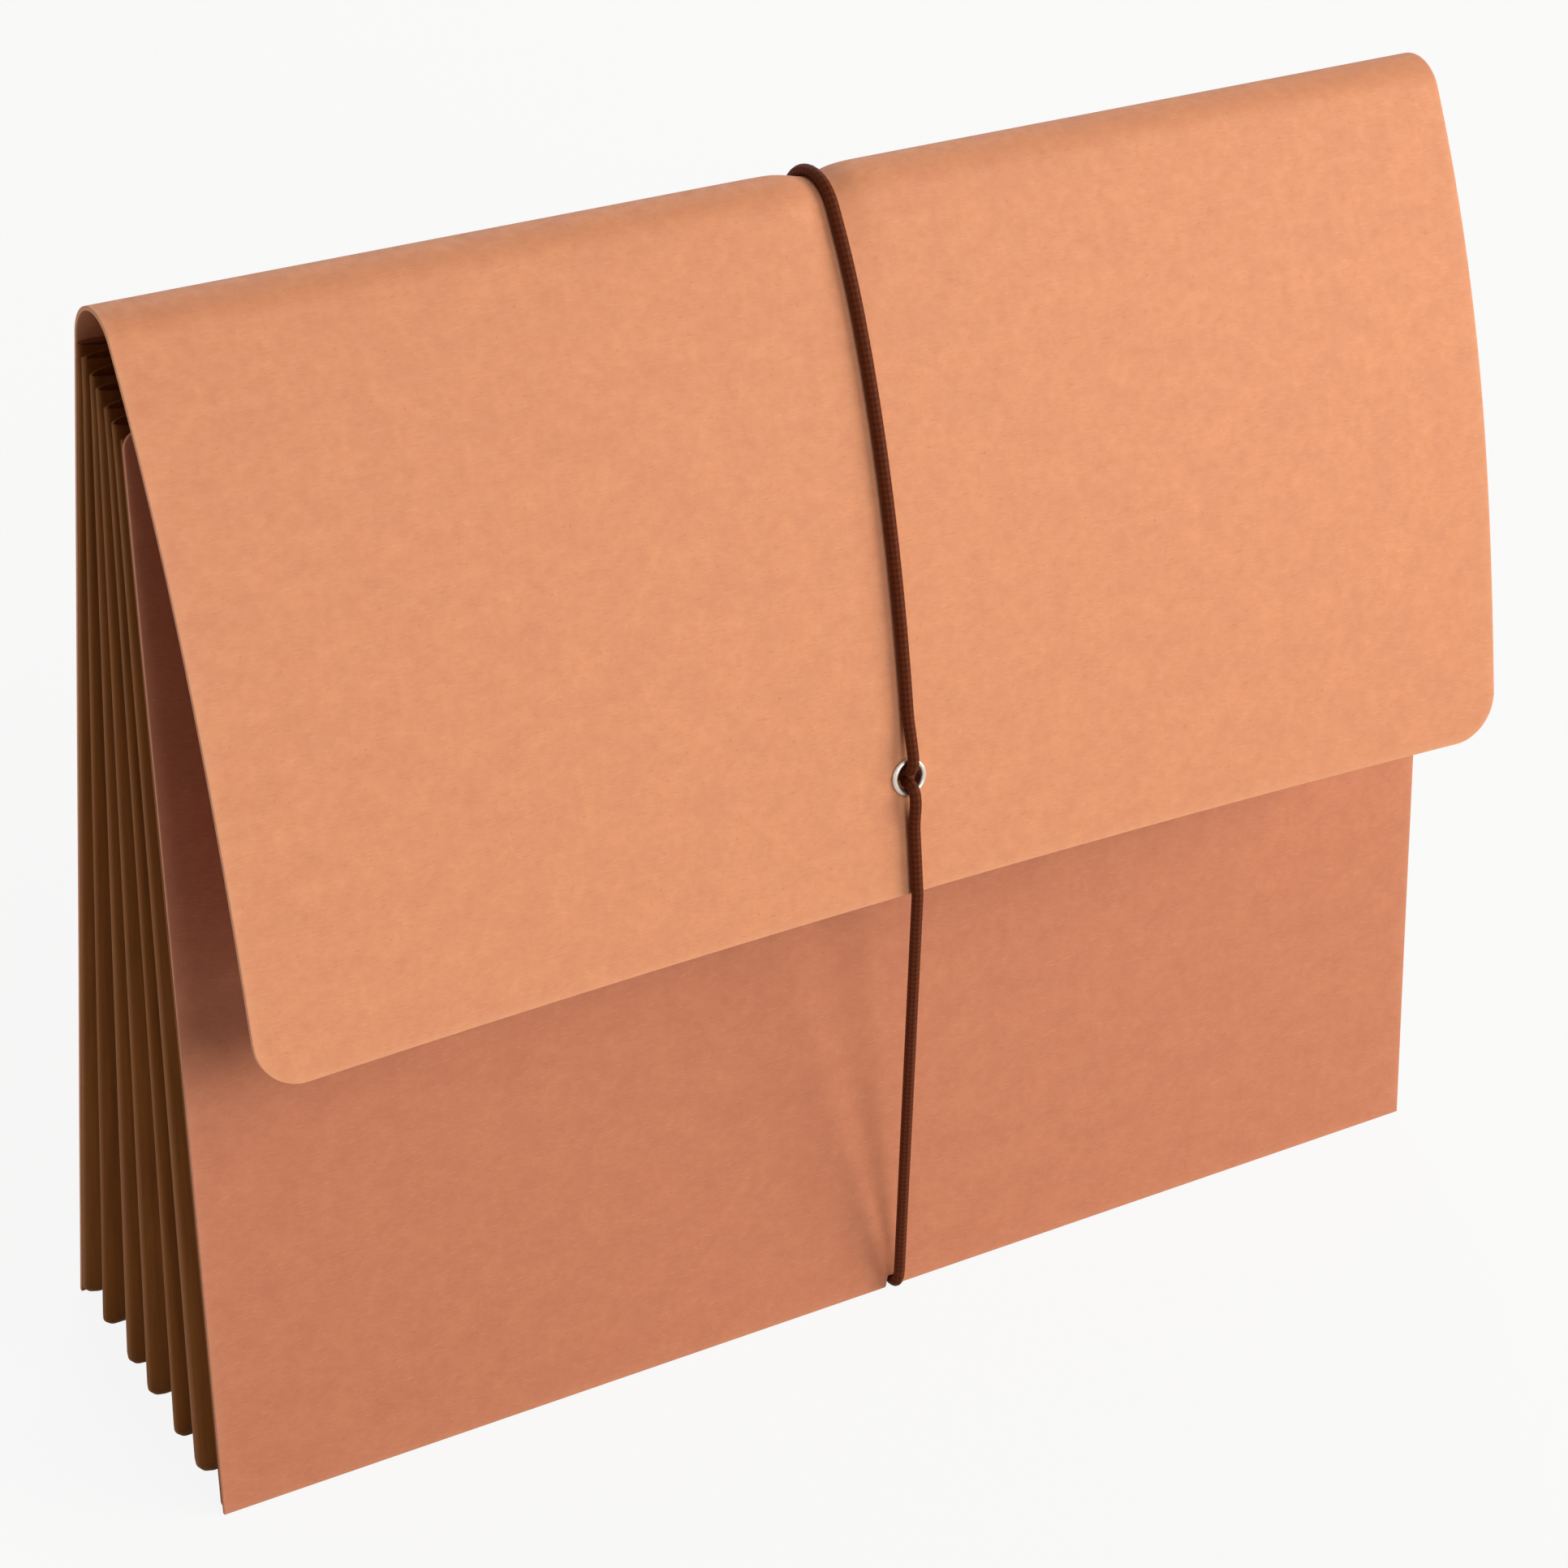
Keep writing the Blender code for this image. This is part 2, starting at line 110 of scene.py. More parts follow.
def flap_point(s, lift=0.0, x=0.0):
    point = fold_point(FOLD_SWEEP)
    for k in range(FLAP_STEPS):
        point = point + along(flap_turn(s * (k + 0.5) / FLAP_STEPS)) * s / FLAP_STEPS
    bow = FLAP_BOW * (x / HALF) ** 2 * (s / FLAP_LENGTH) ** FLAP_BOW_POWER
    return point + (lift + bow) * outward(flap_turn(s))


def flap_half(s):
    half = HALF - FLAP_TAPER * s / FLAP_LENGTH
    into = s - (FLAP_LENGTH - FLAP_CORNER)
    if into > 0:
        half -= FLAP_CORNER - math.sqrt(max(FLAP_CORNER**2 - into**2, 0.0))
    return half


FRONT_FOOT_Z = BOARD / 2 * math.sin(LEAN)


def front_point(s, lift=0.0):
    y = -BOTTOM_DEPTH + s * math.sin(LEAN) - lift * math.cos(LEAN)
    return np.array([y, FRONT_FOOT_Z + s * math.cos(LEAN) + lift * math.sin(LEAN)])


def front_y(z, lift=0.0):
    foot = front_point(0.0, lift)
    return foot[0] + (z - foot[1]) * math.tan(LEAN)


EYELET = flap_point(EYELET_S)
EYELET_TURN = flap_turn(EYELET_S)
FRONT_CORD_Y = front_point(0.0, CORD_LIFT)[0]


# Mesh helpers
def metres(points):
    points = np.asarray(points, float).copy()
    points[..., 1] += SHIFT_Y
    return points * MM


def grid_object(name, points, uv, edge=None, loop=False):
    """An object from a grid of points (rows, columns, xyz in mm), with a UV map "lay" and a value "edge"."""
    rows, columns = points.shape[:2]
    number = np.arange(rows * columns).reshape(rows, columns)
    following = np.roll(number, -1, 1) if loop else number[:, 1:]
    this = number if loop else number[:, :-1]
    faces = np.stack([this[:-1], following[:-1], following[1:], this[1:]], -1).reshape(-1, 4)
    mesh = bpy.data.meshes.new(name)
    mesh.from_pydata(metres(points).reshape(-1, 3).tolist(), [], faces.tolist())
    layer = mesh.uv_layers.new(name="lay")
    corner = np.zeros(len(mesh.loops), np.int32)
    mesh.loops.foreach_get("vertex_index", corner)
    layer.uv.foreach_set("vector", uv.reshape(-1, 2)[corner].astype(np.float32).ravel())
    if edge is not None:
        value = mesh.attributes.new("edge", "FLOAT", "POINT")
        value.data.foreach_set("value", edge.astype(np.float32).ravel())
    mesh.shade_smooth()
    obj = bpy.data.objects.new(name, mesh)
    bpy.context.scene.collection.objects.link(obj)
    return obj


def settle(obj):
    """Apply the modifiers, so that the mesh is final."""
    bpy.context.view_layer.update()
    graph = bpy.context.evaluated_depsgraph_get()
    ready = obj.evaluated_get(graph)
    mesh = bpy.data.meshes.new_from_object(ready, preserve_all_data_layers=True, depsgraph=graph)
    obj.modifiers.clear()
    obj.data = mesh
    return obj


BEVEL_ANGLE = 50.0


def thicken(obj, thickness, bevel=0.0):
    """Board or paper: a skin of even thickness, whose cut edges are a little rounded if bevel is given."""
    skin = obj.modifiers.new("skin", "SOLIDIFY")
    skin.thickness = thickness * MM
    skin.offset = 0.0
    skin.use_even_offset = True
    if bevel:
        soft = obj.modifiers.new("soft", "BEVEL")
        soft.width = bevel * MM
        soft.segments = 2
        soft.limit_method = "ANGLE"
        soft.angle_limit = math.radians(BEVEL_ANGLE)
    settle(obj)
    obj.data.shade_smooth()
    return obj


def smooth_wave(a, b):
    """Unevenness of board, about -1 to 1, from two places along it in mm."""
    return (
        0.5 * np.sin(a / 41.0 + 0.7) * np.sin(b / 57.0 + 1.9)
        + 0.3 * np.sin(a / 23.0 + b / 31.0 + 0.4)
        + 0.2 * np.sin(a / 13.0 - b / 17.0 + 2.6)
    )


def smooth_step(t):
    t = np.clip(t, 0.0, 1.0)
    return t * t * (3 - 2 * t)


def point_values(obj, name, values):
    attribute = obj.data.attributes.get(name) or obj.data.attributes.new(name, "FLOAT", "POINT")
    attribute.data.foreach_set("value", np.asarray(values, np.float32))


def places(obj):
    """The vertices of a mesh in mm, with y = 0 at the back panel."""
    co = np.zeros(len(obj.data.vertices) * 3, np.float32)
    obj.data.vertices.foreach_get("co", co)
    co = co.reshape(-1, 3).astype(float) / MM
    co[:, 1] -= SHIFT_Y
    return co


def fold_share(co):
    """0 on the back, 1 on the flap, and the share of the turn round the fold between them."""
    turn = np.degrees(np.arctan2(co[:, 2] - FOLD_Z, co[:, 1] + FOLD_R))
    turn = np.where(turn < -90.0, turn + 360.0, turn)
    return np.clip(turn / FOLD_SWEEP, 0.0, 1.0)


# Board: back panel, fold and flap are one sheet
NICK_STEPS = np.array([0.0, 0.7, 1.3, 1.55, 1.8, 2.1, 2.7, 3.4, 4.4, 6.0])
NICK = np.concatenate([CORD_BOTTOM_X - NICK_STEPS[:0:-1], CORD_BOTTOM_X + NICK_STEPS])
EDGE_STEPS = np.array([0.0, 0.4, 1.0, 2.0, 4.0, 8.0, 14.0])  # rows and columns in from an edge
CORD_COLUMNS_FROM, CORD_COLUMNS = -9.0, 13  # columns under the slanting cord, up to the nick
INNER_SHARE, INNER_COLUMNS, INNER_GAP = 0.88, 41, 0.02
DENT_FLAT, DENT_EASE, DENT_SPARE = 1.25, 0.7, 0.3  # the nick's half width, its flank, room over the cord
HOLE_SIDES, HOLE_SPARE, HOLE_DEPTH = 48, 0.3, 8.0
BOARD_BEVEL = 0.12
BOARD_LAY = 500  # mm of board to the unit of its UV map
RIM_FADE = 0.9  # mm over which a board's paler rim fades
FAR_FROM_RIM = 99.0
BACK_WAVE, FLAP_WAVE, FRONT_WAVE = 0.22, 0.2, 0.2  # unevenness in mm
BACK_EASE, BACK_EASE_TOP = 40.0, 60.0  # lengths over which it fades out
FLAP_EASE, FLAP_EASE_EDGE, FLAP_EDGE_LEAST, FLAP_CALM = 50.0, 12.0, 0.4, 30.0
FRONT_EASE = 30.0
FLAP_WAVE_FROM, FRONT_WAVE_FROM = 40.0, (90.0, 15.0)  # so that the panels don't match
FRONT_LAY_FROM = 0.08
BACK_ROWS, FOLD_ROWS, FLAP_ROWS, FLAP_CORNER_ROWS, FRONT_ROWS, FRONT_CORNER_ROWS = 26, 30, 28, 16, 28, 6


def shares_across():
    """Columns of a panel as shares of its half width, closer together at the sides and along the cord."""
    rim = 1 - EDGE_STEPS / HALF
    cord = np.concatenate([np.linspace(CORD_COLUMNS_FROM, NICK[0] - 1.0, CORD_COLUMNS), NICK]) / HALF
    inner = np.linspace(-INNER_SHARE, INNER_SHARE, INNER_COLUMNS)
    inner = inner[(inner < cord[0] - INNER_GAP) | (inner > cord[-1] + INNER_GAP)]
    return np.sort(np.concatenate([-rim, rim, cord, inner]))


def pressed(run):
    """How far the cord presses the board in, at a run along the board from the start of the fold."""
    return FOLD_DENT * np.exp(-(((run - FOLD_ARC / 2) / FOLD_DENT_REACH) ** 2))


def hollow(x, run):
    """The depth of that dent across the board."""
    return pressed(run) * np.exp(-((x / FOLD_DENT_HALF) ** 2))


def dent(x):
    """How far the cord lifts the bottom edge of a panel."""
    flank = smooth_step((np.abs(x - CORD_BOTTOM_X) - DENT_FLAT) / DENT_EASE)
    return (2 * CORD_R + DENT_SPARE) * (1 - flank)


def punch(obj):
    """The eyelet's hole in the flap."""
    radius = (EYELET_BORE_R + HOLE_SPARE) * MM
    bpy.ops.mesh.primitive_cylinder_add(vertices=HOLE_SIDES, radius=radius, depth=HOLE_DEPTH * MM)
    cutter = bpy.context.object
    cutter.location = Vector((0.0, EYELET[0] + SHIFT_Y, EYELET[1])) * MM
    cutter.rotation_euler = (math.radians(EYELET_TURN - 90.0), 0.0, 0.0)
    cut = obj.modifiers.new("eyelet_hole", "BOOLEAN")
    cut.solver = "EXACT"
    cut.object = cutter
    settle(obj)
    bpy.data.objects.remove(cutter)


def corner_stations(start, radius, rows):
    """Rows over a rounded corner that begins at start, closer together towards the edge."""
    return [start + radius * math.sin(math.pi / 2 * k / rows) for k in range(1, rows + 1)]


def make_sheet():
    across = shares_across()
    points, uv, edge = [], [], []

    def row(x, yz, s, rim):
        points.append(np.column_stack([x, yz]))
        uv.append(np.column_stack([x / BOARD_LAY + 0.5, np.broadcast_to(s, x.shape) / BOARD_LAY]))
        edge.append(np.exp(-np.minimum(rim, np.abs(x).max() - np.abs(x)) / RIM_FADE))

    for z in np.concatenate([EDGE_STEPS[:-1], np.linspace(EDGE_STEPS[-1], FOLD_Z, BACK_ROWS)]):
        x = across * HALF
        low = dent(x)
        up = low + (FOLD_Z - low) * z / FOLD_Z
        ease = min(1.0, z / BACK_EASE) * min(1.0, (FOLD_Z - z) / BACK_EASE_TOP)
        y = BACK_WAVE * smooth_wave(x, z) * ease - hollow(x, up - FOLD_Z)
        row(x, np.column_stack([y, up]), up, z)
    for k in range(1, FOLD_ROWS + 1):
        turn = FOLD_SWEEP * k / FOLD_ROWS
        x = across * HALF
        run = FOLD_R * math.radians(turn)
        row(x, np.array([fold_point(turn, -h) for h in hollow(x, run)]), FOLD_Z + run, FAR_FROM_RIM)
    start = FOLD_Z + FOLD_ARC
    straight = FLAP_LENGTH - FLAP_CORNER
    stations = list(np.linspace(0.0, straight, FLAP_ROWS)[1:])
    stations += corner_stations(straight, FLAP_CORNER, FLAP_CORNER_ROWS)
    for s in stations:
        x = across * flap_half(s)
        ease = min(1.0, s / FLAP_EASE) * min(1.0, (FLAP_LENGTH - s) / FLAP_EASE_EDGE + FLAP_EDGE_LEAST)
        ease = ease * np.clip(np.abs(x) / FLAP_CALM, 0.0, 1.0)
        lift = FLAP_WAVE * smooth_wave(x, s + FLAP_WAVE_FROM) * ease
        lift -= hollow(x, FOLD_ARC + s)
        yz = np.array([flap_point(s, a, b) for a, b in zip(lift, x)])
        row(x, yz, start + s, FLAP_LENGTH - s)
    obj = grid_object("board_sheet", np.array(points), np.array(uv), np.array(edge))
    thicken(obj, BOARD, BOARD_BEVEL)
    punch(obj)
    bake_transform(obj, "back", "flap", start=(0, 0, 0), end=(0, -0.03, 0.24))
    point_values(obj, "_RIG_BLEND", fold_share(places(obj)))
    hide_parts("back_panel", "top_fold", "flap")
    return obj


def make_front():
    across = shares_across()
    points, uv, edge = [], [], []
    corner = FRONT_LENGTH - FRONT_CORNER
    stations = list(EDGE_STEPS[:-1]) + list(np.linspace(EDGE_STEPS[-1], corner, FRONT_ROWS))
    stations += corner_stations(corner, FRONT_CORNER, FRONT_CORNER_ROWS)
    for s in stations:
        half = HALF
        if s > corner:
            half -= FRONT_CORNER - math.sqrt(max(FRONT_CORNER**2 - (s - corner) ** 2, 0.0))
        x = across * half
        low = dent(x)
        up = low + (FRONT_LENGTH - low) * s / FRONT_LENGTH
        ease = min(1.0, s / FRONT_EASE) * min(1.0, (FRONT_LENGTH - s) / FRONT_EASE)
        lift = FRONT_WAVE * smooth_wave(x + FRONT_WAVE_FROM[0], s + FRONT_WAVE_FROM[1]) * ease
        points.append(np.column_stack([x, np.array([front_point(a, b) for a, b in zip(up, lift)])]))
        uv.append(np.column_stack([x / BOARD_LAY + 0.5, FRONT_LAY_FROM + up / BOARD_LAY]))
        rim = np.minimum(np.minimum(s, FRONT_LENGTH - s), half - np.abs(x))
        edge.append(np.exp(-rim / RIM_FADE))
    points, uv, edge = (np.array(each)[:, ::-1] for each in (points, uv, edge))  # so that faces look outwards
    obj = grid_object("front_board", points, uv, edge)
    thicken(obj, BOARD, BOARD_BEVEL)
    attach(obj, "front")
    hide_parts("front_panel")
    return obj


# Gusset: one pleated strip round the left side, the bottom and the right side
GUSSET_FLOOR, GUSSET_GAP = 0.2, 0.1  # clear of the floor, and of the boards
CORNER_STEPS, STRIP_ROWS, BOTTOM_COLUMNS = 16, 30, 45
LIFT_REACH, LIFT_FLAT, LIFT_EASE, LIFT_SPARE = 7.0, 2.0, 3.6, 0.3  # the pleats rise over the cord
PLEAT_ROWS = 14  # rows of points in a pleat
PLEAT_DRIFT, PLEAT_DRIFT_WAVES = 0.012, 7  # uneven spacing of the pleats
PLEAT_SHALLOW, PLEAT_WAVE = 0.05, 0.01  # uneven depth of the pleats, as shares
PLEAT_ROUND = 0.015  # rounding of the folds
GUSSET_LAY = 1000  # mm of strip to the unit of its UV map


def fold_lines(top):
    """Matching points (x, z) of an outer and an inner fold, from the left strip's top to the right's."""
    a = HALF - PLEAT_INSET
    low = GUSSET_SKIN / 2 + GUSSET_FLOOR
    outer_x, outer_z = a - GUSSET_CORNER, low + GUSSET_CORNER
    inner_x = a - PLEAT_DEPTH - GUSSET_INNER_CORNER
    inner_z = low + PLEAT_DEPTH + GUSSET_INNER_CORNER
    right = []
    for k in range(CORNER_STEPS + 1):
        turn = math.pi / 2 * k / CORNER_STEPS
        c, s = math.cos(turn), math.sin(turn)
        outer = (outer_x + GUSSET_CORNER * c, outer_z - GUSSET_CORNER * s)
        right.append((outer, (inner_x + GUSSET_INNER_CORNER * c, inner_z - GUSSET_INNER_CORNER * s)))
    right.reverse()
    for share in np.linspace(0, 1, STRIP_ROWS + 1)[1:]:
        outer = (a, outer_z + (top - outer_z) * share)
        right.append((outer, (a - PLEAT_DEPTH, inner_z + (top - inner_z) * share)))
    left = [((-o[0], o[1]), (-i[0], i[1])) for o, i in reversed(right)]
    bottom = []
    spread = np.linspace(-inner_x, inner_x, BOTTOM_COLUMNS)[1:-1]
    spread = np.sort(np.concatenate([spread[np.abs(spread - CORD_BOTTOM_X) > LIFT_REACH], NICK]))
    for x in spread:
        flank = smooth_step((abs(x - CORD_BOTTOM_X) - LIFT_FLAT) / LIFT_EASE)
        lift = (NICK_TOP - LIFT_SPARE - low) * (1 - flank)
        bottom.append(((x * outer_x / inner_x, low + max(lift, 0.0)), (x, low + PLEAT_DEPTH)))
    return left + bottom + right


def make_gusset():
    line = np.array(fold_lines(GUSSET_TOP))
    step = np.linalg.norm(np.diff(line[:, 0], axis=0), axis=1)
    length = np.concatenate([[0.0], np.cumsum(step)])
    inside = BOARD / 2 + GUSSET_GAP + GUSSET_SKIN / 2
    rows = PLEATS * PLEAT_ROWS
    points, uv = [], []
    for j in range(rows + 1):
        share = j / rows
        share += PLEAT_DRIFT * math.sin(PLEAT_DRIFT_WAVES * math.pi * share)
        line = np.array(fold_lines(GUSSET_TOP - GUSSET_TOP_DROP * share))
        phase = math.pi * j / PLEAT_ROWS
        pleat = min(j // PLEAT_ROWS, PLEATS - 1)
        depth = 1 - PLEAT_SHALLOW * (0.5 + 0.5 * math.sin(5.1 * pleat + 0.8))
        c = abs(math.cos(phase))
        inward = depth * (1 - math.sqrt(c * c * (1 - PLEAT_ROUND) + PLEAT_ROUND))
        inward += PLEAT_WAVE * np.sin(length / 37.0 + 1.7 * pleat) * math.sin(phase) ** 2
        inward = inward[:, None]
        xz = line[:, 0] * (1 - inward) + line[:, 1] * inward
        y = np.array([-inside * (1 - share) + front_y(z, -inside) * share for z in xz[:, 1]])
        points.append(np.column_stack([xz[:, 0], y, xz[:, 1]]))
        uv.append(np.column_stack([length / GUSSET_LAY, np.full(len(line), PLEAT_LAY * j / PLEAT_ROWS)]))
    obj = grid_object("pleated_gusset", np.array(points), np.array(uv))
    thicken(obj, GUSSET_SKIN)
    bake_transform(obj, "back", "front", start=(0, 0.036, 0.1), end=(0, -0.036, 0.1))
    co = places(obj)
    depth = np.array([front_y(z, -inside) for z in co[:, 2]]) + inside
    point_values(obj, "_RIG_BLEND", np.clip((co[:, 1] + inside) / depth, 0.0, 1.0))
    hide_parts("gusset_left", "gusset_bottom", "gusset_right")
    return obj


# Cord
WEAVE_DEPTH, WEAVE_STRANDS, WEAVE_TURN = 0.022, 4, 2.6  # share of the radius, pairs round it, turn to the mm
TIP_TURNS, TIP_LENGTH = (30, 60, 85), 0.5  # rounded ends
CORD_LAY = 100  # mm of cord to the unit of its UV map
PATH_STEPS, FRONT_STEPS = 40, 30
FOOT_STEPS, EDGE_ROWS = 8, 7
SPLIT_OVERLAP = 0.002  # the two lower pieces overlap by this share of the way up the back
BORE_DEPTH, FACE_GAP, STRAND_GAP = 0.9, 0.2, 0.15
CLEAR_ABOVE, CLEAR_BELOW = 9.0, 6.0  # where the cord meets the board again, from the eyelet's rim
FOOT_OVERLAP = 0.5  # the front run ends this far above the lower piece's end, inside its rounded tip
HANG_FROM, HANG_EASE = 2.5, 7.0  # where the front run starts to follow its own body, at the free edge
KNOT_R, KNOT_SIZE, KNOT_DEPTH, KNOT_DROP, KNOT_STEPS = 0.95, 1.25, 0.75, 2.8, 96
FOOT_BACK = Vector((CORD_BOTTOM_X, CORD_LIFT, CORD_FLOOR))
FOOT_FRONT = Vector((CORD_BOTTOM_X, FRONT_CORD_Y, CORD_FLOOR))
BACK_TOP = Vector((0.0, CORD_TOUCH, FOLD_Z))


def bend(before, corner, after, radius, steps=8):
    """Points of a rounded corner of a path."""
    corner = Vector(corner)
    a = (Vector(before) - corner).normalized()
    b = (Vector(after) - corner).normalized()
    half = a.angle(b) / 2
    centre = corner + (a + b).normalized() * radius / math.sin(half)
    start = (corner + a * radius / math.tan(half) - centre).normalized()
    end = (corner + b * radius / math.tan(half) - centre).normalized()
    return [centre + radius * start.slerp(end, k / steps) for k in range(steps + 1)]


def even_path(path, step):
    """The path with evenly spaced points, slightly smoothed."""
    path = np.array([tuple(p) for p in path], float)
    run = np.concatenate([[0.0], np.cumsum(np.linalg.norm(np.diff(path, axis=0), axis=1))])
    at = np.linspace(0.0, run[-1], max(int(run[-1] / step), 8) + 1)
    path = np.column_stack([np.interp(at, run, path[:, k]) for k in range(3)])
    for _ in range(3):
        path[1:-1] = 0.25 * path[:-2] + 0.5 * path[1:-1] + 0.25 * path[2:]
    return path


def tube(name, path, radius, step=0.7, sides=18):
    """A braided round cord along a path, with rounded ends."""
    path = even_path(path, step)
    ahead = np.gradient(path, axis=0)
    ahead /= np.linalg.norm(ahead, axis=1)[:, None]
    side = np.array([1.0, 0.0, 0.0])
    run = np.concatenate([[0.0], np.cumsum(np.linalg.norm(np.diff(path, axis=0), axis=1))])
    around = np.arange(sides) * 2 * math.pi / sides
    points, uv = [], []

    def ring(centre, scale, at, n, b):
        one, two = WEAVE_STRANDS * around + at * WEAVE_TURN, WEAVE_STRANDS * around - at * WEAVE_TURN
        r = radius * scale * (1 + WEAVE_DEPTH * np.cos(one) * np.cos(two))
        points.append(centre + np.outer(r * np.cos(around), n) + np.outer(r * np.sin(around), b))
        uv.append(np.column_stack([around / (2 * math.pi), np.full(sides, at / CORD_LAY)]))

    tip = [(TIP_LENGTH * math.sin(turn), math.cos(turn)) for turn in map(math.radians, TIP_TURNS)]
    for k, (centre, t) in enumerate(zip(path, ahead)):
        n = side - t * (side @ t)
        n /= np.linalg.norm(n)
        b = np.cross(t, n)
        if k == 0:
            for out, scale in reversed(tip):
                ring(centre - t * radius * out, scale, run[k], n, b)
        ring(centre, 1.0, run[k], n, b)
        if k == len(path) - 1:
            for out, scale in tip:
                ring(centre + t * radius * out, scale, run[k], n, b)
    obj = grid_object(name, np.array(points), np.array(uv), loop=True)
    mesh = obj.data
    work = bmesh.new()
    work.from_mesh(mesh)
    work.verts.ensure_lookup_table()
    for end in (work.verts[:sides], work.verts[-sides:]):
        work.faces.new(end)
    bmesh.ops.recalc_face_normals(work, faces=work.faces)
    work.to_mesh(mesh)
    work.free()
    mesh.shade_smooth()
    return obj


def strand(side):
    """The cord's way out of the bore and over the eyelet's face, to the fold (-1) or the free edge (1)."""
    over = EYELET_TOP + FACE_GAP + CORD_R
    middle = CORD_R + STRAND_GAP
    points = []
    for s, lift in ((middle, -BORE_DEPTH), (middle, over), (EYELET_RIM_R + CORD_R, over)):
        point = EYELET + side * s * along(EYELET_TURN) + lift * outward(EYELET_TURN)
        points.append(Vector((0.0, *point)))
    return points


def on_middle(yz):
    return Vector((0.0, *yz))


def make_cord_under():
    """From the front bottom edge, under the pocket and a little up the back."""
    end = Vector((CORD_BOTTOM_X, FRONT_CORD_Y, CORD_TURN_UP))
    path = [end] + bend(end, FOOT_FRONT, FOOT_BACK, CORD_BEND)
    path += [FOOT_FRONT.lerp(FOOT_BACK, k / FOOT_STEPS) for k in range(1, FOOT_STEPS)]
    path += bend(FOOT_FRONT, FOOT_BACK, BACK_TOP, CORD_BEND)
    path += [FOOT_BACK.lerp(BACK_TOP, share) for share in (UNDER_SPLIT / 2, UNDER_SPLIT)]
    obj = tube("cord_under", path, CORD_R)
    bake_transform(obj, "back", "front", start=(0, 0.036, 0.0), end=(0, -0.036, 0.0))
    forward = (FOOT_BACK.y - places(obj)[:, 1]) / (FOOT_BACK.y - FOOT_FRONT.y)
    point_values(obj, "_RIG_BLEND", np.clip(forward, 0.0, 1.0))
    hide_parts("cord_back")
    return obj


def make_cord_over_back():
    """Up the back, over the fold and down the flap into the eyelet."""
    path = []
    steps = PATH_STEPS + 1
    for k in range(steps):
        share = UNDER_SPLIT - SPLIT_OVERLAP + (1 + SPLIT_OVERLAP - UNDER_SPLIT) * k / steps
        point = FOOT_BACK.lerp(BACK_TOP, share)
        path.append(point - Vector((0.0, pressed(point.z - FOLD_Z), 0.0)))
    for k in range(PATH_STEPS + 1):
        lift = CORD_TOUCH - pressed(FOLD_ARC * k / PATH_STEPS)
        path.append(on_middle(fold_point(FOLD_SWEEP * k / PATH_STEPS, lift)))
    stop = EYELET_S - EYELET_RIM_R - CLEAR_ABOVE
    for k in range(1, FRONT_STEPS + 1):
        s = stop * k / FRONT_STEPS
        path.append(on_middle(flap_point(s, CORD_TOUCH - pressed(FOLD_ARC + s))))
    bore, over, clear = strand(-1)
    path += [clear] + bend(clear, over, bore, CORD_BEND) + [bore]
    obj = tube("cord_over_back", path, CORD_R)
    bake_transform(obj, "back", "flap", start=(0, 0, 0), end=(0, -0.03, 0.24))
    point_values(obj, "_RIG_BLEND", fold_share(places(obj)))
    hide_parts("cord_back", "cord_fold", "cord_upper")
    return obj


def make_cord_down_front():
    """Out of the eyelet, round the flap's free edge and down to the front bottom edge."""
    bore, over, clear = strand(1)
    path = [bore] + bend(bore, over, clear, CORD_BEND) + [clear]
    begin = EYELET_S + EYELET_RIM_R + CLEAR_BELOW
    for k in range(EDGE_ROWS + 1):
        path.append(on_middle(flap_point(begin + (FLAP_LENGTH - begin) * k / EDGE_ROWS, CORD_TOUCH)))
    drop = path[-1]
    foot = Vector((CORD_BOTTOM_X, FRONT_CORD_Y, CORD_TURN_UP + FOOT_OVERLAP))
    path += [drop.lerp(foot, k / FRONT_STEPS) for k in range(1, FRONT_STEPS + 1)]
    obj = tube("cord_down_front", path, CORD_R)
    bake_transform(obj, "flap", "cord_run", start=(0, 0, 0.12), end=(0, 0, 0.1))
    below = (drop.z + HANG_FROM - places(obj)[:, 2]) / HANG_EASE
    point_values(obj, "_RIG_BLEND", smooth_step(below))
    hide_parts("cord_lower", "cord_front")
    return obj


def make_cord_knot():
    """A trefoil behind the eyelet."""
    path = []
    for k in range(KNOT_STEPS + 1):
        a = 2 * math.pi * k / KNOT_STEPS
        u = KNOT_SIZE * (math.sin(a) + 2 * math.sin(2 * a)) / 2
        v = KNOT_SIZE * (math.cos(a) - 2 * math.cos(2 * a)) / 2
        lift = -(EYELET_TOP + KNOT_DROP) - KNOT_DEPTH * math.sin(3 * a)
        point = EYELET + v * along(EYELET_TURN) + lift * outward(EYELET_TURN)
        path.append(Vector((u, *point)))
    obj = tube("cord_knot_tied", path, KNOT_R, step=0.35, sides=14)
    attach(obj, "flap")
    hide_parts("cord_knot")
    return obj


# Eyelet
EYELET_WALL, EYELET_SEAT, WASHER_RISE = 0.25, 0.05, 0.6
WELD_GAP = 1e-6


